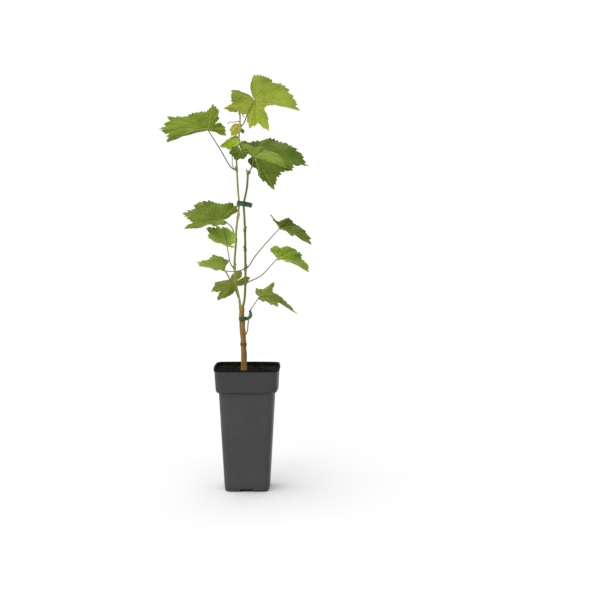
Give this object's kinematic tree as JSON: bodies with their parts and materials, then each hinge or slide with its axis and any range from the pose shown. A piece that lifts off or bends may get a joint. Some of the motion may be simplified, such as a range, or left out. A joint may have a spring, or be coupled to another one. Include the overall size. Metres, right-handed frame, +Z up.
{
  "type": "potted grapevine",
  "caption": "Young grapevine with a short woody trunk, two slender green shoots and lobed leaves on long stalks, in a tall square tapered nursery pot.",
  "frame": {"origin": "centre of the pot's flat underside, which stands on the ground", "axes": "+Z up along the plant, +X to the plant's right as seen from its front, +Y to its back"},
  "size_m": [0.2515, 0.1116, 0.6926],
  "materials": {
    "pot_plastic": "dark grey moulded plastic, satin, faintly mottled",
    "potting_mix": "moist dark brown peat and bark mix, crumbly",
    "bark": "brown fibrous vine bark",
    "green_shoot": "yellow-green shoot with darker nodes, fine ridges",
    "leaf_stalk": "olive green stalk, reddish on its sunny side",
    "leaf": "matt green blade with paler raised veins, paler below",
    "plant_tie": "dark green flat plastic tie"
  },
  "bodies": {
    "root": {"pot": "pot_plastic", "potting_mix": "potting_mix", "trunk": "bark", "shoot_left": "green_shoot", "shoot_right": "green_shoot", "stalk_crown_right": "leaf_stalk", "leaf_crown_right": "leaf", "stalk_crown_left": "leaf_stalk", "leaf_crown_left": "leaf", "stalk_young_left": "leaf_stalk", "leaf_young_left": "leaf", "stalk_upper_right": "leaf_stalk", "leaf_upper_right": "leaf", "stalk_upper_right_near": "leaf_stalk", "leaf_upper_right_near": "leaf", "stalk_upper_front": "leaf_stalk", "leaf_upper_front": "leaf", "stalk_middle_left": "leaf_stalk", "leaf_middle_left": "leaf", "stalk_middle_left_near": "leaf_stalk", "leaf_middle_left_near": "leaf", "stalk_lower_left": "leaf_stalk", "leaf_lower_left": "leaf", "stalk_bottom_left": "leaf_stalk", "leaf_bottom_left": "leaf", "stalk_middle_right": "leaf_stalk", "leaf_middle_right": "leaf", "stalk_lower_right": "leaf_stalk", "leaf_lower_right": "leaf", "stalk_bottom_right": "leaf_stalk", "leaf_bottom_right": "leaf", "stalk_tip_young": "leaf_stalk", "leaf_tip_young": "leaf", "tie_upper": "plant_tie", "tie_lower": "plant_tie"}
  },
  "joints": []
}
